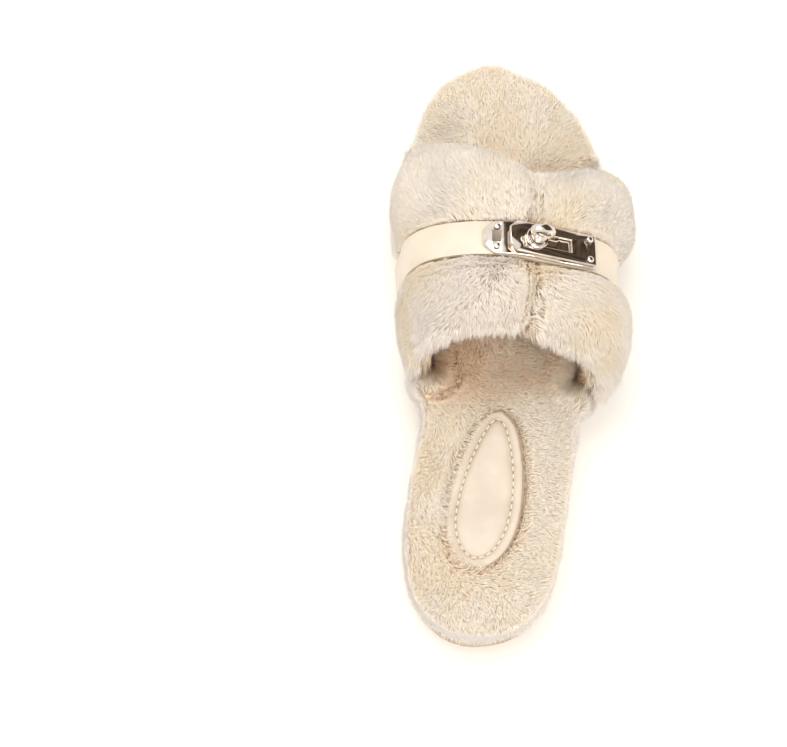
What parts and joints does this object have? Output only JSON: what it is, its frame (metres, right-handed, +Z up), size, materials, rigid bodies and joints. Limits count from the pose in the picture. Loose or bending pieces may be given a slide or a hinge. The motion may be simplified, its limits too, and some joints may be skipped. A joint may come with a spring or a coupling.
{
  "type": "house slipper",
  "caption": "Right-foot open-back house slide with a long-pile faux-fur upper, plush footbed, padded heel patch and a strap with a turn-lock buckle.",
  "frame": {"origin": "on the ground under the middle of the slipper's bounding box", "axes": "+Z up, +Y towards the toe, +X towards the outer side of the foot; the big-toe side is -X"},
  "size_m": [0.104, 0.2612, 0.0827],
  "materials": {
    "outsole_rubber": "matte",
    "sole_foam": "matte",
    "soft_foam": "matte",
    "insole_board": "matte",
    "short_fur": "matte",
    "long_fur": "matte",
    "lining_fur": "matte",
    "interlining": "matte",
    "strap_backing": "matte",
    "strap_leather": "satin",
    "pad_leather": "satin",
    "thread": "matte",
    "polished_metal": "polished",
    "brushed_metal": "satin"
  },
  "bodies": {
    "slipper": {"outsole": "outsole_rubber", "midsole": "sole_foam", "insole_board": "insole_board", "footbed_foam": "soft_foam", "footbed_fur": "short_fur", "heel_pad_foam": "soft_foam", "heel_pad_cover": "pad_leather", "heel_pad_stitching": "thread", "upper_lining": "lining_fur", "upper_interlining": "interlining", "seam_tape": "interlining", "centre_seam_thread": "thread", "upper_fur_medial": "long_fur", "upper_fur_lateral": "long_fur", "strap_backing": "strap_backing", "strap_cover": "strap_leather", "base_plate": "brushed_metal", "hasp_plate": "polished_metal", "base_rivet_1": "polished_metal", "base_rivet_2": "polished_metal", "hasp_rivet_1": "polished_metal", "hasp_rivet_2": "polished_metal", "base_rivet_1_washer": "brushed_metal", "base_rivet_2_washer": "brushed_metal", "hasp_rivet_1_washer": "brushed_metal", "hasp_rivet_2_washer": "brushed_metal", "lock_post": "polished_metal", "lock_collar": "polished_metal", "wave_washer": "brushed_metal"},
    "knob": {"turn_knob": "polished_metal"}
  },
  "joints": [
    {"name": "knob_turn", "type": "hinge", "parent": "slipper", "child": "knob", "pos_m": [0.00974, 0.02865, 0.075], "axis": [0.3645, 0.1286, 0.9223], "range_deg": [0, 90]}
  ]
}
